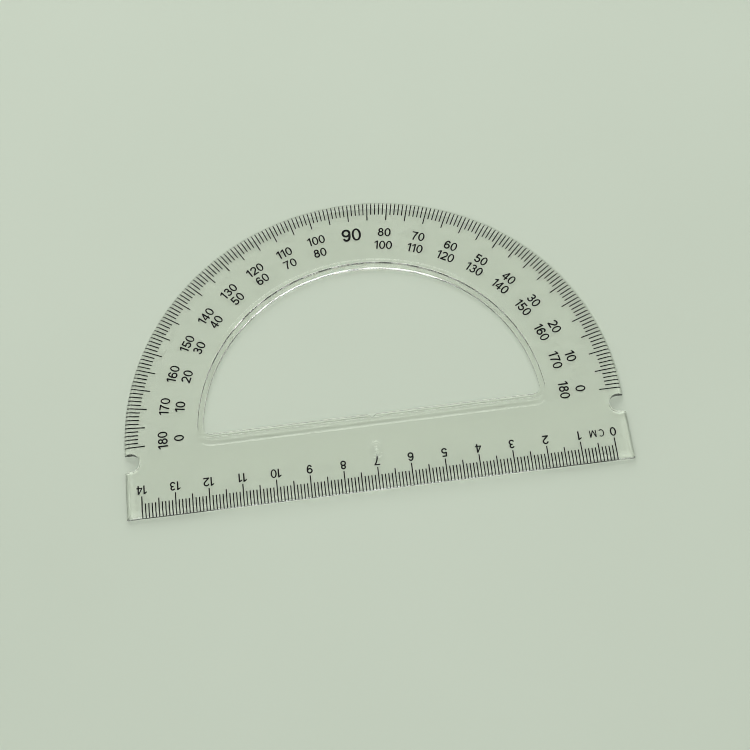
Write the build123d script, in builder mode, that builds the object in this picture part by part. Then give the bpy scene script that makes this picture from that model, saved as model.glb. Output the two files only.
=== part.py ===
from build123d import *
import os
from math import cos, radians, sin, sqrt

# A clear 180 degree protractor with a 14 cm ruler along its straight edge. It lies flat on XY
# with its underside on z = 0. The origin is the centre of the plate's arc, 0 degrees is on +X,
# 90 degrees is on +Y and the ruler edge faces -Y. All sizes are in millimetres.

# Plate
plate_thickness = 2.0
plate_radius = 74.7
ruler_edge_y = -22.7
bevel_width = 1.3  # the bevel goes all round the upper side of the outer edge
bevel_drop = 1.0

# D-shaped window: a wide recess in the upper face, and an opening that leaves a ledge all round
ledge_width = 1.5
ledge_height = 1.0
opening_radius = 51.0
opening_base_y = 1.25
opening_corner = 2.4
centre_mark_half_width = 1.15  # V cut in the ledge, with its point on the 0 to 180 degree line
centre_mark_lap = 0.1  # how far the V runs on into the opening

# U-shaped notches in the two ends
end_notch_radius = 2.75
end_notch_x = 73.0
end_notch_y = -5.3

# Moulding gate mark on the upper face
gate_centre = (0, -10.1)
gate_radius = 2.3
gate_depth = 0.2
gate_stub_radius = 1.3
gate_stub_top_radius = 0.6
gate_stub_height = 0.15

# Printing: a film of ink in shallow reliefs in the underside, flush with it
printing_x = -0.2  # the printing is set a little to the left on the plate
ink_depth = 0.03
tick_width = 0.34
scale_relief_outer_radius = 74.35
scale_relief_inner_radius = 54.5
scale_relief_low_y = -2.4
ruler_relief_length = 146.0
ruler_relief_width = 10.6
ruler_relief_low_y = -22.6

# Angle scale
tick_outer_radius = 74.25
degree_tick = 3.8
five_degree_tick = 5.8
degree_figure_height = 3.0
outer_row_radius = 62.1
outer_row_bow = 0.9  # the outer row stands this much further out at 0, 90 and 180 degrees
outer_row_rise = 1.15
inner_row_radius = 58.1
inner_row_rise = 1.3
ninety_height = 4.5
ninety_place = (0.4, 63.5)

# Ruler, numbered from right to left
ruler_centimetres = 14
ruler_zero_x = 70.0
ruler_tick_foot_y = -22.4
millimetre_tick = 4.3
half_centimetre_tick = 5.6
centimetre_tick = 6.65
ruler_figure_y = -13.8
ruler_figure_height = 2.75
unit_place = (65.2, -13.8)
unit_height = 2.25

# Figures and letters, one unit high and standing on y = 0
pen = 0.155
thin_pen = 0.13
half_width = 0.33
neck_length = 0.58  # straight part of the 2
bowl = half_width - pen / 2 - 0.01
small_bowl = 0.19
large_bowl = (1 - pen) / 2 - small_bowl
standard_advance = (0.36, 0.36)  # from the middle of a figure to the left and right of its space
narrow_advance = {"1": (0.335, 0.165), "C": (0.5, 0.5), "M": (0.57, 0.57)}


def stroke(line, width=pen):
    """Draw a line with a flat-ended pen."""
    trace(lines=line.edges(), line_width=width)


def draw_zero():
    with Locations((0, 0.5)):
        Ellipse(half_width, 0.5)
        Ellipse(half_width - pen, 0.5 - thin_pen, mode=Mode.SUBTRACT)


def draw_one():
    with Locations((0, 0.5)):
        Rectangle(pen, 1)
    flag = [(pen / 2, 1), (-0.06, 1), (-0.3, 0.83), (-0.3, 0.7), (-pen / 2, 0.8), (pen / 2, 0.8)]
    Polygon(*flag, align=None)


def draw_two():
    with BuildLine(mode=Mode.PRIVATE) as neck:
        hook = CenterArc((0, 1 - pen / 2 - bowl), bowl, 170, -215)
        Line(hook @ 1, hook @ 1 + (hook % 1) * neck_length)
    stroke(neck)
    with Locations((0, pen / 2)):
        Rectangle(2 * half_width - 0.02, pen)


def draw_three():
    with BuildLine(mode=Mode.PRIVATE) as top:
        upper = CenterArc((0, 1 - pen / 2 - small_bowl), small_bowl, 165, -255)
        Line(upper @ 1, upper @ 1 - (0.09, 0))
    with BuildLine(mode=Mode.PRIVATE) as foot:
        CenterArc((0, pen / 2 + large_bowl), large_bowl, 90, -255)
    stroke(top)
    stroke(foot)


def draw_four():
    left = -0.34
    stem = 0.1
    bar_foot = 0.22
    bar_top = bar_foot + thin_pen
    stem_left = stem - pen / 2
    stem_right = stem + pen / 2
    sail = [(left, bar_foot), (left, bar_top), (stem_left, 1), (stem_right, 1), (stem_right, bar_foot)]
    Polygon(*sail, align=None)
    Polygon((left + 0.16, bar_top), (stem_left, bar_top), (stem_left, 0.76), align=None, mode=Mode.SUBTRACT)
    with Locations((stem, bar_foot / 2)):
        Rectangle(pen, bar_foot)
    with Locations((stem_right + 0.06, bar_foot + thin_pen / 2)):
        Rectangle(0.12, thin_pen)


def draw_five():
    with BuildLine(mode=Mode.PRIVATE) as flag:
        Polyline((0.25, 1 - pen / 2), (-0.175, 1 - pen / 2), (-0.21, 0.46))
    with BuildLine(mode=Mode.PRIVATE) as belly:
        CenterArc((0, pen / 2 + bowl), bowl, 142, -307)
    stroke(flag)
    stroke(belly)


def draw_six():
    with BuildLine(mode=Mode.PRIVATE) as back:
        EllipticalCenterArc((0, 0.5), bowl, 0.5 - pen / 2, 35, arc_size=160)
    with BuildLine(mode=Mode.PRIVATE) as ring:
        CenterArc((0, pen / 2 + bowl), bowl, 0, 360)
    stroke(back)
    stroke(ring)


def draw_nine():
    with BuildSketch(mode=Mode.PRIVATE) as six:
        draw_six()
    with Locations(Location((0, 1, 0), (0, 0, 180))):
        add(six.sketch)


def draw_seven():
    with Locations((0, 1 - thin_pen / 2)):
        Rectangle(2 * half_width - 0.03, thin_pen)
    with BuildLine(mode=Mode.PRIVATE) as leg:
        ThreePointArc((0.225, 0.91), (0.01, 0.46), (-0.085, 0))
    stroke(leg)


def draw_eight():
    rings = [(1 - pen / 2 - small_bowl, small_bowl), (pen / 2 + large_bowl, large_bowl)]
    for height, radius in rings:
        with Locations((0, height)):
            Circle(radius + pen / 2)
    for height, radius in rings:
        with Locations((0, height)):
            Circle(radius - pen / 2, mode=Mode.SUBTRACT)


def draw_c():
    with BuildLine(mode=Mode.PRIVATE) as hook:
        EllipticalCenterArc((0, 0.5), 0.39 - thin_pen / 2, 0.52 - thin_pen / 2, 48, arc_size=264)
    stroke(hook, thin_pen)


def draw_m():
    half_stem_gap = 0.375
    for side in (-half_stem_gap, half_stem_gap):
        with Locations((side, 0.5)):
            Rectangle(thin_pen, 1)
    outer = half_stem_gap + thin_pen / 2
    inner = outer - 0.16
    Polygon((-outer, 1), (-inner, 1), (0, 0.25), (inner, 1), (outer, 1), (0.06, 0), (-0.06, 0), align=None)


def make_figures():
    """Return a sketch of each figure and letter by its character."""
    drawings = {
        "0": draw_zero,
        "1": draw_one,
        "2": draw_two,
        "3": draw_three,
        "4": draw_four,
        "5": draw_five,
        "6": draw_six,
        "7": draw_seven,
        "8": draw_eight,
        "9": draw_nine,
        "C": draw_c,
        "M": draw_m,
    }
    figures = {}
    for character, draw in drawings.items():
        with BuildSketch() as figure:
            draw()
        figures[character] = figure.sketch
    return figures


figures = make_figures()


def print_text(labels, height):
    """Draw labels, each a (text, centre, turn in degrees), with figures of one height."""
    places = {}
    for text, centre, turn in labels:
        advances = [narrow_advance.get(character, standard_advance) for character in text]
        pen_x = -sum(left + right for left, right in advances) / 2
        frame = Location((*centre, 0), (0, 0, turn))
        for character, (left, right) in zip(text, advances):
            place = frame * Location(((pen_x + left) * height, -height / 2, 0))
            places.setdefault(character, []).append(place)
            pen_x += left + right
    for character, locations in places.items():
        with Locations(*locations):
            add(scale(figures[character], by=height, mode=Mode.PRIVATE))


def print_degree_ticks(degrees, length):
    """Draw a radial bar for each degree, with its outer end on the tick circle."""
    middle = tick_outer_radius - length / 2
    turns = [Location((0, 0, 0), (0, 0, degree)) * Location((middle, 0, 0)) for degree in degrees]
    with Locations(*turns):
        Rectangle(length, tick_width)


def print_ruler_ticks(millimetres, length):
    """Draw a bar for each millimetre mark, standing on the foot line of the ruler."""
    points = [(ruler_zero_x - mark, ruler_tick_foot_y + length / 2) for mark in millimetres]
    with Locations(*points):
        Rectangle(tick_width, length)


def degree_label(text, degree, radius, rise):
    """Place a label on a row of the angle scale, with its top facing outwards."""
    centre = (radius * cos(radians(degree)), radius * sin(radians(degree)) + rise)
    return (text, centre, degree - 90)


def outer_row():
    """Number the outer row: 180 to 100 on the left, 80 to 0 on the right."""
    labels = []
    for degree in range(0, 181, 10):
        if degree != 90:
            radius = outer_row_radius + outer_row_bow * cos(radians(2 * degree)) ** 2
            labels.append(degree_label(str(degree), degree, radius, outer_row_rise))
    return labels


def inner_row():
    """Number the inner row the other way round, 0 on the left and 180 on the right."""
    labels = []
    for degree in range(0, 181, 10):
        if degree != 90:
            labels.append(degree_label(str(180 - degree), degree, inner_row_radius, inner_row_rise))
    return labels


def window_shape(ledge):
    """Return the D of the opening, made wider all round by a ledge."""
    radius = opening_radius + ledge
    base_y = opening_base_y - ledge
    half_base = sqrt(radius**2 - base_y**2)
    with BuildSketch(mode=Mode.PRIVATE) as shape:
        with BuildLine():
            arch = ThreePointArc((half_base, base_y), (0, radius), (-half_base, base_y))
            Line(arch @ 1, arch @ 0)
        make_face()
        fillet(shape.vertices(), opening_corner + ledge)
    return shape.sketch


def centre_mark():
    """Return the V that is cut through the ledge, a little longer than the ledge is wide."""
    top_y = opening_base_y + centre_mark_lap
    top_half_width = centre_mark_half_width * top_y / opening_base_y
    with BuildSketch(mode=Mode.PRIVATE) as shape:
        Polygon((0, 0), (top_half_width, top_y), (-top_half_width, top_y), align=None)
    return shape.sketch


with BuildPart() as one_degree_ticks:
    with BuildSketch():
        print_degree_ticks([degree for degree in range(181) if degree % 5], degree_tick)
    extrude(amount=ink_depth)

with BuildPart() as five_degree_ticks:
    with BuildSketch():
        print_degree_ticks(range(0, 181, 5), five_degree_tick)
    extrude(amount=ink_depth)

with BuildPart() as outer_degree_figures:
    with BuildSketch():
        print_text(outer_row(), degree_figure_height)
    extrude(amount=ink_depth)

with BuildPart() as inner_degree_figures:
    with BuildSketch():
        print_text(inner_row(), degree_figure_height)
    extrude(amount=ink_depth)

with BuildPart() as ninety_figure:
    with BuildSketch():
        print_text([("90", ninety_place, 0)], ninety_height)
    extrude(amount=ink_depth)

ruler_marks = range(10 * ruler_centimetres + 1)

with BuildPart() as millimetre_ticks:
    with BuildSketch():
        print_ruler_ticks([mark for mark in ruler_marks if mark % 5], millimetre_tick)
    extrude(amount=ink_depth)

with BuildPart() as half_centimetre_ticks:
    with BuildSketch():
        print_ruler_ticks([mark for mark in ruler_marks if mark % 10 == 5], half_centimetre_tick)
    extrude(amount=ink_depth)

with BuildPart() as centimetre_ticks:
    with BuildSketch():
        print_ruler_ticks([mark for mark in ruler_marks if mark % 10 == 0], centimetre_tick)
    extrude(amount=ink_depth)

with BuildPart() as centimetre_figures:
    with BuildSketch():
        centimetres = range(ruler_centimetres + 1)
        labels = [(str(cm), (ruler_zero_x - 10 * cm, ruler_figure_y), 180) for cm in centimetres]
        print_text(labels, ruler_figure_height)
    extrude(amount=ink_depth)

with BuildPart() as unit_letters:
    with BuildSketch():
        print_text([("CM", unit_place, 180)], unit_height)
    extrude(amount=ink_depth)

printing = {
    "one_degree_ticks": one_degree_ticks,
    "five_degree_ticks": five_degree_ticks,
    "outer_degree_figures": outer_degree_figures,
    "inner_degree_figures": inner_degree_figures,
    "ninety_figure": ninety_figure,
    "millimetre_ticks": millimetre_ticks,
    "half_centimetre_ticks": half_centimetre_ticks,
    "centimetre_ticks": centimetre_ticks,
    "centimetre_figures": centimetre_figures,
    "unit_letters": unit_letters,
}

with BuildPart() as plate:
    # Outline with its bevelled upper edge
    with BuildSketch():
        with BuildLine():
            arch = CenterArc((0, 0), plate_radius, 0, 180)
            left_corner = (-plate_radius, ruler_edge_y)
            right_corner = (plate_radius, ruler_edge_y)
            Polyline(arch @ 1, left_corner, right_corner, arch @ 0)
        make_face()
    extrude(amount=plate_thickness)
    upper_face = plate.faces().sort_by(Axis.Z)[-1]
    chamfer(upper_face.edges(), length=bevel_width, length2=bevel_drop, reference=upper_face)

    # Window, with its ledge and the V centre mark
    with BuildSketch(Plane.XY.offset(plate_thickness)):
        add(window_shape(ledge_width))
    extrude(amount=ledge_height - plate_thickness, mode=Mode.SUBTRACT)
    with BuildSketch():
        add(window_shape(0))
        add(centre_mark())
    extrude(amount=plate_thickness, mode=Mode.SUBTRACT)

    # Notches in the ends
    with BuildSketch():
        for side in (-1, 1):
            with Locations((side * end_notch_x, end_notch_y)):
                Circle(end_notch_radius)
            with Locations((side * (end_notch_x + end_notch_radius), end_notch_y)):
                Rectangle(2 * end_notch_radius, 2 * end_notch_radius)
    extrude(amount=plate_thickness, mode=Mode.SUBTRACT)

    # Gate mark: a shallow dish with the stub of the gate in the middle
    with Locations((*gate_centre, plate_thickness)):
        dish_top = (Align.CENTER, Align.CENTER, Align.MAX)
        Cylinder(gate_radius, gate_depth, align=dish_top, mode=Mode.SUBTRACT)
    with Locations((*gate_centre, plate_thickness - gate_depth)):
        stub_foot = (Align.CENTER, Align.CENTER, Align.MIN)
        Cone(gate_stub_radius, gate_stub_top_radius, gate_stub_height, align=stub_foot)

    # Shallow reliefs in the underside, as deep as the ink, under the angle scale and the ruler
    below = (Align.CENTER, Align.MAX)
    above = (Align.CENTER, Align.MIN)
    with BuildSketch(Plane((printing_x, 0, 0))):
        Circle(scale_relief_outer_radius)
        Circle(scale_relief_inner_radius, mode=Mode.SUBTRACT)
        with Locations((0, scale_relief_low_y)):
            Rectangle(2 * plate_radius, plate_radius, align=below, mode=Mode.SUBTRACT)
        with Locations((0, ruler_relief_low_y)):
            Rectangle(ruler_relief_length, ruler_relief_width, align=above)
    extrude(amount=ink_depth, mode=Mode.SUBTRACT)

pieces = {"plate": plate.part}
for name, piece in printing.items():
    pieces[name] = piece.part.moved(Location((printing_x, 0, 0)))

os.makedirs("parts", exist_ok=True)
for name, piece in pieces.items():
    piece.label = name
    export_step(piece, f"parts/{name}.step")
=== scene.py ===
from math import atan2, cos, pi, radians, sin, sqrt

import bmesh
import bpy
from mathutils import Matrix, Vector


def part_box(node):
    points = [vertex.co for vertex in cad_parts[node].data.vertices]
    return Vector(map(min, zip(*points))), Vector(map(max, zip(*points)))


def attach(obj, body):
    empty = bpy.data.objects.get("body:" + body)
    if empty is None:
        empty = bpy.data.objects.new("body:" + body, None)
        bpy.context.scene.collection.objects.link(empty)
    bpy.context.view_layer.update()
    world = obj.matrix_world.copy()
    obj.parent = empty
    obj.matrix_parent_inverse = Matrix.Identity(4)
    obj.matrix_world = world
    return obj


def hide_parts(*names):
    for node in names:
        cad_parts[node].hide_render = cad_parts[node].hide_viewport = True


# A clear protractor with black printing on its underside, on a pale floor. Metres, +Z up: the
# origin is the centre of the plate's arc, the ruler edge faces -Y and the underside is on z = 0.

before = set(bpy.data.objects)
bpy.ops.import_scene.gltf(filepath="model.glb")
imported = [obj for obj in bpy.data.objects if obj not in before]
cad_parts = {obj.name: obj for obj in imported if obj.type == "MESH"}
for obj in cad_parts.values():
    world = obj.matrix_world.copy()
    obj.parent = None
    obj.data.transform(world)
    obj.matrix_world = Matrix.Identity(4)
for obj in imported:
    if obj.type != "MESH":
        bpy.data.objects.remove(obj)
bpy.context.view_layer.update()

mm = 0.001
plate_low, plate_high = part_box("plate")
ink_low, ink_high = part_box("one_degree_ticks")

# Plate, as in the CAD
plate_radius = plate_high.x
plate_thickness = plate_high.z
ruler_edge_y = plate_low.y
bevel_width = 1.3 * mm
bevel_drop = 1.0 * mm
opening_radius = 51.0 * mm
opening_base_y = 1.25 * mm
opening_corner = 2.4 * mm
ledge_width = 1.5 * mm
ledge_height = 1.0 * mm
centre_mark_half_width = 1.15 * mm
end_notch_radius = 2.75 * mm
end_notch_x = 73.0 * mm
end_notch_y = -5.3 * mm
gate_centre = Vector((0, -10.1)) * mm
gate_radius = 2.3 * mm
gate_depth = 0.25 * mm

# Moulded edges are never quite sharp, and a fine bead runs round the window
edge_round = 0.12 * mm
bead_radius = 53.9 * mm
bead_arc_y = -0.4 * mm
bead_base_y = -2.85 * mm
bead_corner = 5.5 * mm
bead_half_width = 0.28 * mm
bead_height = 0.06 * mm
underside_z = ink_high.z / 3  # the ink stands a hair proud of the plastic

# The bevel with both ends eased: (share of its width inwards, share of its drop upwards)
bevel_profile = ((0.0, -0.06), (0.02, 0.0), (0.06, 0.06), (0.94, 0.94), (0.98, 1.0), (1.02, 1.0))

# The gate mark's dish and stub, from the rim inwards: (share of its radius, share of its depth)
gate_profile = (
    (1.08, 0.0),
    (1.04, -0.25),
    (0.99, 0.0),
    (0.94, 0.8),
    (0.9, 1.0),
    (0.66, 1.0),
    (0.58, 0.9),
    (0.5, 0.2),
    (0.42, 0.15),
    (0.32, 0.9),
    (0.24, 0.85),
    (0.14, 0.3),
    (0.05, 0.25),
)

# How finely the curves are cut
plate_arc_steps = 300
window_arc_steps = 260
notch_steps = 32
window_corner_steps = 20
gate_sides = 48
bead_steps = 4
smooth_below = radians(38)  # edges with a sharper turn than this stay crisp

# Hair scratches: the turn of each set in degrees, and how stretched it is
scratch_sets = ((12, 60), (68, 90), (-35, 75))

# Camera
camera_place = Vector((4.68, -153.84, 368.2)) * mm
camera_target = Vector((2.3, 13.86, 0.72)) * mm
camera_roll = radians(-7.87)
camera_lens = 63.93
sensor_width = 36

# Floor, a hair under the plate
floor_half_width = 1.5
floor_z = -0.1 * mm

# The room, with angles measured up from the horizon beyond the plate's arc. Its ceiling is dim
# where the plate mirrors it to the camera, and a glow hangs overhead, tipped to the camera's side.
room_colour = (0.98, 1.0, 0.97, 1)
room_level = 0.5
dim_height = radians(65)
dim_inner = radians(15)
dim_outer = radians(34)
dim_level = 0.15
glow_height = radians(98)
glow_inner = radians(4)
glow_outer = radians(27)
glow_level = 3.3


# ---------------------------------------------------------------- plan outlines


def arc_points(centre, radius, start, end, steps):
    """Points on an arc, from start to end in radians, both ends included."""
    turns = [start + (end - start) * step / steps for step in range(steps + 1)]
    return [Vector((centre[0] + radius * cos(t), centre[1] + radius * sin(t))) for t in turns]


def mirrored(points):
    """The same points on the other side of the Y axis, in the opposite order."""
    return [Vector((-p.x, p.y)) for p in reversed(points)]


def shifted(points, distance):
    """A closed loop moved sideways by a distance, to its left as it is walked."""
    least_spread = 0.3  # keeps a sharp corner from running far out
    moved = []
    for index, point in enumerate(points):
        before = (point - points[index - 1]).normalized()
        after = (points[(index + 1) % len(points)] - point).normalized()
        side = Vector((-before.y - after.y, before.x + after.x)).normalized()
        spread = max(least_spread, side.dot(Vector((-after.y, after.x))))
        moved.append(point + side * (distance / spread))
    return moved


def outer_outline(inset, ease):
    """The plate's outer edge, anticlockwise. inset moves the edge in but leaves the end notches."""
    edge_x = plate_radius - inset
    notch_centre = (end_notch_x, end_notch_y)
    right = [Vector((edge_x, ruler_edge_y + inset))]
    right.append(Vector((edge_x, end_notch_y - end_notch_radius)))
    right += arc_points(notch_centre, end_notch_radius, -pi / 2, -3 * pi / 2, notch_steps)
    right.append(Vector((edge_x, end_notch_y + end_notch_radius)))
    arch = arc_points((0, 0), edge_x, 0, pi, plate_arc_steps)
    return shifted(right + arch + mirrored(right), ease)


def d_outline(radius, arc_y, base_y, corner, mark_depth=0.0):
    """An arc closed by a straight side, anticlockwise, with rounded corners and a V mark."""
    corner_y = base_y + corner
    corner_x = sqrt((radius - corner) ** 2 - (corner_y - arc_y) ** 2)
    join = atan2(corner_y - arc_y, corner_x)
    right = arc_points((corner_x, corner_y), corner, -pi / 2, join, window_corner_steps)
    arch = arc_points((0, arc_y), radius, join, pi - join, window_arc_steps)[1:-1]
    mark_x = centre_mark_half_width
    mark = [Vector((-mark_x, base_y)), Vector((0, base_y - mark_depth)), Vector((mark_x, base_y))]
    return right + arch + mirrored(right) + mark


def window_outline(out, mark_depth=0.0):
    """The opening, moved outwards."""
    return d_outline(opening_radius + out, 0, opening_base_y - out, opening_corner + out, mark_depth)


def bead_outline(out):
    """The bead round the window, moved outwards."""
    return d_outline(bead_radius + out, bead_arc_y, bead_base_y - out, bead_corner + out)


# ---------------------------------------------------------------- plate mesh


def add_ring(mesh, points, z):
    """A closed ring of new corners at one height."""
    return [mesh.verts.new((p.x, p.y, z)) for p in points]


def ring_edges(mesh, ring):
    """The edges that join a ring's corners."""
    return [mesh.edges.get((ring[index - 1], ring[index])) for index in range(len(ring))]


def skin(mesh, rings):
    """Join rings of the same length with smooth bands of quads."""
    for low, high in zip(rings, rings[1:]):
        for index in range(len(low)):
            corners = (low[index - 1], low[index], high[index], high[index - 1])
            mesh.faces.new(corners).smooth = True


def fill_flat(mesh, *rings):
    """Fill the flat area between rings that lie in one level."""
    edges = [edge for ring in rings for edge in ring_edges(mesh, ring)]
    bmesh.ops.triangle_fill(mesh, use_beauty=True, edges=edges)


def rounded_corner(steps=3):
    """(share in, share up) along a quarter round, from its foot to its top."""
    turns = [radians(90 * step / steps) for step in range(steps + 1)]
    return [(1 - cos(turn), sin(turn)) for turn in turns]


def outer_rings(mesh):
    """The outer edge, from the underside up its short wall and over the bevel."""
    rings = []
    for into, up in rounded_corner():
        ease = edge_round * (1 - up)
        rings.append(add_ring(mesh, outer_outline(0, ease), underside_z + edge_round * into))
    bevel_foot = plate_thickness - bevel_drop
    for into, up in bevel_profile:
        outline = outer_outline(bevel_width * into, 0)
        rings.append(add_ring(mesh, outline, bevel_foot + bevel_drop * up))
    return rings


def opening_ring(mesh, ease, z):
    """The opening's edge with its V mark, whose point is on the centre of the plate's arc."""
    outline = shifted(window_outline(0, opening_base_y), -ease)
    return add_ring(mesh, outline, z)


def window_rings(mesh):
    """The window's edge from the underside up, and those of its rings that stay crisp."""
    wall = []
    for into, up in rounded_corner():
        wall.append(opening_ring(mesh, edge_round * (1 - up), underside_z + edge_round * into))
    for into, up in rounded_corner():
        wall.append(opening_ring(mesh, edge_round * into, ledge_height - edge_round * (1 - up)))
    ledge_end = add_ring(mesh, window_outline(ledge_width), ledge_height)
    step_up = []
    for into, up in rounded_corner():
        outline = window_outline(ledge_width + edge_round * into)
        step_up.append(add_ring(mesh, outline, plate_thickness - edge_round * (1 - up)))
    bead = []
    for step in range(-bead_steps, bead_steps + 1):
        rise = bead_height * (1 + cos(pi * step / bead_steps)) / 2
        outline = bead_outline(bead_half_width * step / bead_steps)
        bead.append(add_ring(mesh, outline, plate_thickness + rise))
    crisp = [wall[-1], ledge_end, step_up[-1]]
    return wall + [ledge_end] + step_up + bead, crisp


def gate_rings(mesh):
    """The gate mark, from the upper face down into its dish and up its stub."""
    last_turn = 2 * pi * (gate_sides - 1) / gate_sides
    rings = []
    for share, depth in gate_profile:
        points = arc_points(gate_centre, gate_radius * share, 0, last_turn, gate_sides - 1)
        rings.append(add_ring(mesh, points, plate_thickness - gate_depth * depth))
    return rings


def make_plate():
    """The clear moulding, as one closed mesh."""
    mesh = bmesh.new()
    outside = outer_rings(mesh)
    window, crisp = window_rings(mesh)
    gate = gate_rings(mesh)
    for rings in (window, outside, gate):
        skin(mesh, rings)
    mesh.faces.new(gate[-1]).smooth = True
    fill_flat(mesh, outside[0], window[0])
    fill_flat(mesh, outside[-1], window[-1], gate[0])
    bmesh.ops.recalc_face_normals(mesh, faces=mesh.faces)
    for edge in mesh.edges:
        edge.smooth = len(edge.link_faces) == 2 and edge.calc_face_angle() < smooth_below
    for ring in crisp:
        for edge in ring_edges(mesh, ring):
            edge.smooth = False
    data = bpy.data.meshes.new("clear_plate")
    mesh.to_mesh(data)
    mesh.free()
    piece = bpy.data.objects.new("clear_plate", data)
    bpy.context.scene.collection.objects.link(piece)
    return piece


# ---------------------------------------------------------------- materials


def node_maker(tree):
    """A function that adds a node to a tree and sets its inputs and options."""

    def node(kind, inputs=None, **options):
        made = tree.nodes.new(kind)
        for name, value in options.items():
            setattr(made, name, value)
        for name, value in (inputs or {}).items():
            made.inputs[name].default_value = value
        return made

    return node


def new_material(name):
    """An empty node material, and the functions that link and add its nodes."""
    material = bpy.data.materials.new(name)
    material.use_nodes = True
    tree = material.node_tree
    tree.nodes.clear()
    return material, tree.links.new, node_maker(tree)


def noise(scale, detail, roughness=0.5):
    """The inputs of a noise texture."""
    return {"Scale": scale, "Detail": detail, "Roughness": roughness}


def span(source, result):
    """The inputs of a node that maps one (low, high) range to another."""
    return {"From Min": source[0], "From Max": source[1], "To Min": result[0], "To Max": result[1]}


def bump(strength, distance):
    """The inputs of a bump node, with its distance in metres."""
    return {"Strength": strength, "Distance": distance}


def clear_plastic():
    """Gloss clear plastic: handling marks, hair scratches and a faint moulding flow."""
    material, link, node = new_material("clear_plastic")
    look = {"Base Color": (0.998, 0.998, 0.985, 1), "Transmission Weight": 1, "IOR": 1.5}
    glass = node("ShaderNodeBsdfPrincipled", look)
    place = node("ShaderNodeTexCoord").outputs["Object"]

    smudges = node("ShaderNodeTexNoise", noise(scale=45.0, detail=5.0, roughness=0.6))
    link(place, smudges.inputs["Vector"])
    haze = node("ShaderNodeMapRange", span((0.5, 0.8), (0.0, 0.05)))
    link(smudges.outputs["Fac"], haze.inputs["Value"])

    roughness = haze.outputs[0]
    scratches = []
    for turn, stretch in scratch_sets:
        drawn_out = {"Rotation": (0, 0, radians(turn)), "Scale": (stretch, 4000, 200)}
        lie = node("ShaderNodeMapping", drawn_out)
        link(place, lie.inputs["Vector"])
        streaks = node("ShaderNodeTexNoise", noise(scale=1.0, detail=2.0))
        link(lie.outputs[0], streaks.inputs["Vector"])
        thin = node("ShaderNodeMapRange", span((0.76, 0.84), (0.0, 0.14)))
        link(streaks.outputs["Fac"], thin.inputs["Value"])
        scratches.append(thin.outputs[0])
        worn = node("ShaderNodeMath", operation="MAXIMUM")
        link(roughness, worn.inputs[0])
        link(thin.outputs[0], worn.inputs[1])
        roughness = worn.outputs[0]
    link(roughness, glass.inputs["Roughness"])

    flow = node("ShaderNodeTexNoise", noise(scale=22.0, detail=1.0))
    link(place, flow.inputs["Vector"])
    waves = node("ShaderNodeBump", bump(strength=1.0, distance=0.00002))
    link(flow.outputs["Fac"], waves.inputs["Height"])
    grooves = node("ShaderNodeBump", bump(strength=0.3, distance=0.00001), invert=True)
    link(scratches[0], grooves.inputs["Height"])
    link(waves.outputs[0], grooves.inputs["Normal"])
    link(grooves.outputs[0], glass.inputs["Normal"])
    link(glass.outputs[0], node("ShaderNodeOutputMaterial").inputs["Surface"])
    return material


def add_grain(link, node, shader, scale, dull, relief):
    """Give a shader a fine grain: a (low, high) range of roughness, and the inputs of its bump."""
    place = node("ShaderNodeTexCoord").outputs["Object"]
    grain = node("ShaderNodeTexNoise", noise(scale, detail=3.0))
    link(place, grain.inputs["Vector"])
    dullness = node("ShaderNodeMapRange", span((0.0, 1.0), dull))
    link(grain.outputs["Fac"], dullness.inputs["Value"])
    link(dullness.outputs[0], shader.inputs["Roughness"])
    bumps = node("ShaderNodeBump", relief)
    link(grain.outputs["Fac"], bumps.inputs["Height"])
    link(bumps.outputs[0], shader.inputs["Normal"])


def ink():
    """Black screen printing ink: a dense film with the grain of the screen's weave."""
    material, link, node = new_material("ink")
    look = {"Base Color": (0.003, 0.003, 0.003, 1), "Specular IOR Level": 0.3}
    film = node("ShaderNodeBsdfPrincipled", look)
    relief = bump(strength=0.4, distance=0.000004)
    add_grain(link, node, film, scale=9000.0, dull=(0.4, 0.75), relief=relief)
    link(film.outputs[0], node("ShaderNodeOutputMaterial").inputs["Surface"])
    return material


def floor_paint():
    """A matt painted board, very slightly mottled, with a fine grain."""
    material, link, node = new_material("floor_paint")
    paint = node("ShaderNodeBsdfPrincipled")
    mottle = node("ShaderNodeTexNoise", noise(scale=7.0, detail=3.0))
    link(node("ShaderNodeTexCoord").outputs["Object"], mottle.inputs["Vector"])
    tint = node("ShaderNodeValToRGB")
    stops = ((0.3, (0.585, 0.65, 0.545, 1)), (0.7, (0.605, 0.67, 0.565, 1)))
    for element, (position, colour) in zip(tint.color_ramp.elements, stops):
        element.position = position
        element.color = colour
    link(mottle.outputs["Fac"], tint.inputs["Fac"])
    link(tint.outputs["Color"], paint.inputs["Base Color"])
    relief = bump(strength=0.25, distance=0.00005)
    add_grain(link, node, paint, scale=1500.0, dull=(0.65, 0.8), relief=relief)
    link(paint.outputs[0], node("ShaderNodeOutputMaterial").inputs["Surface"])
    return material


# ---------------------------------------------------------------- stage


def facing(place, target):
    """The turn that points a camera or a light at a target."""
    return (Vector(target) - Vector(place)).to_track_quat("-Z", "Y").to_matrix().to_4x4()


def make_camera():
    """The camera, looking down on the plate from the ruler's side."""
    data = bpy.data.cameras.new("camera")
    data.sensor_width = sensor_width
    data.lens = camera_lens
    camera = bpy.data.objects.new("camera", data)
    bpy.context.scene.collection.objects.link(camera)
    roll = Matrix.Rotation(camera_roll, 4, "Z")
    camera.matrix_world = Matrix.Translation(camera_place) @ facing(camera_place, camera_target) @ roll
    bpy.context.scene.camera = camera


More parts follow.
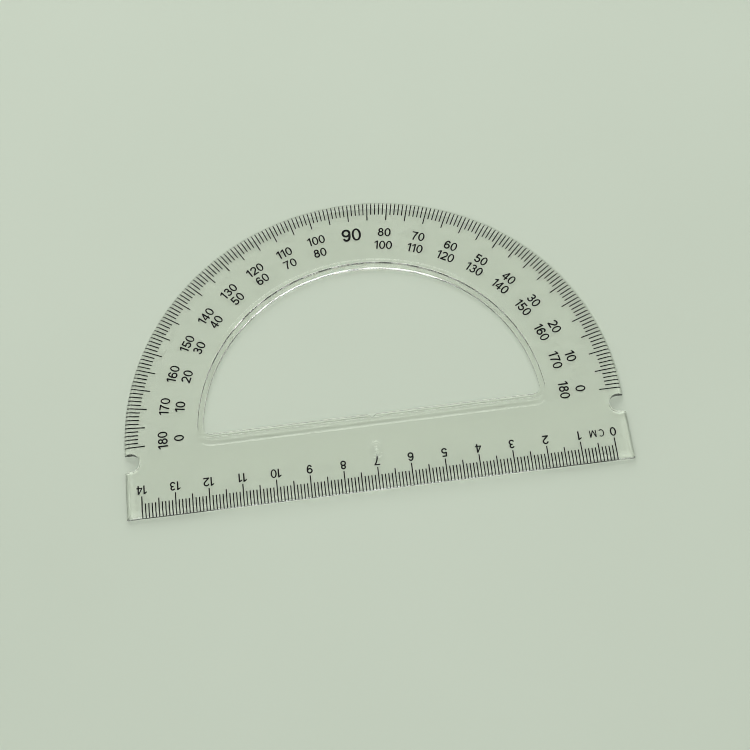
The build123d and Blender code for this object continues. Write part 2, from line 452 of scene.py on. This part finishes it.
def make_floor():
    """One large painted board."""
    half = floor_half_width
    corners = ((-half, -half), (half, -half), (half, half), (-half, half))
    data = bpy.data.meshes.new("floor")
    data.from_pydata([(x, y, floor_z) for x, y in corners], [], [(0, 1, 2, 3)])
    floor = bpy.data.objects.new("floor", data)
    floor.data.materials.append(floor_paint())
    bpy.context.scene.collection.objects.link(floor)


def make_world():
    """An even, pale room with the dim part of its ceiling and the glow overhead."""
    world = bpy.data.worlds.new("studio")
    bpy.context.scene.world = world
    world.use_nodes = True
    tree = world.node_tree
    link = tree.links.new
    node = node_maker(tree)
    background = tree.nodes["Background"]
    background.inputs["Color"].default_value = room_colour
    place = node("ShaderNodeTexCoord").outputs["Generated"]

    def round_patch(height, inner, outer, outside_level, inside_level):
        """A soft-edged round patch of the room, at a height beyond the plate's arc."""
        toward = node("ShaderNodeVectorMath", operation="DOT_PRODUCT")
        toward.inputs[1].default_value = (0, cos(height), sin(height))
        link(place, toward.inputs[0])
        levels = span((cos(outer), cos(inner)), (outside_level, inside_level))
        patch = node("ShaderNodeMapRange", levels, interpolation_type="SMOOTHSTEP")
        link(toward.outputs["Value"], patch.inputs["Value"])
        return patch.outputs[0]

    room = node("ShaderNodeMath", operation="MULTIPLY")
    room.inputs[1].default_value = room_level
    link(round_patch(dim_height, dim_inner, dim_outer, 1.0, dim_level), room.inputs[0])
    total = node("ShaderNodeMath", operation="ADD")
    link(room.outputs[0], total.inputs[0])
    link(round_patch(glow_height, glow_inner, glow_outer, 0.0, glow_level), total.inputs[1])
    link(total.outputs[0], background.inputs["Strength"])


def make_area_light(name, place, target, size, power):
    """A rectangular lamp, with its size in metres and its power in watts."""
    data = bpy.data.lights.new(name, "AREA")
    data.shape = "RECTANGLE"
    data.size, data.size_y = size
    data.energy = power
    light = bpy.data.objects.new(name, data)
    bpy.context.scene.collection.objects.link(light)
    light.matrix_world = Matrix.Translation(place) @ facing(place, target)


def set_light_paths():
    """Let light cross the clear plate many times, and keep fine reflections sharp."""
    cycles = bpy.context.scene.cycles
    cycles.blur_glossy = 0.0
    cycles.filter_width = 1.0
    cycles.max_bounces = 32
    cycles.glossy_bounces = 24
    cycles.transmission_bounces = 24


bpy.context.scene.view_settings.view_transform = "Standard"
set_light_paths()
make_camera()
make_floor()
make_world()
make_area_light("window_light", place=(-0.1, 1.1, 0.65), target=(0, 0, 0), size=(1.0, 0.6), power=5)

plate = make_plate()
plate.data.materials.append(clear_plastic())
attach(plate, "root")
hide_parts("plate")

ink_material = ink()
for name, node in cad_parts.items():
    if name != "plate":
        node.data.materials.clear()
        node.data.materials.append(ink_material)
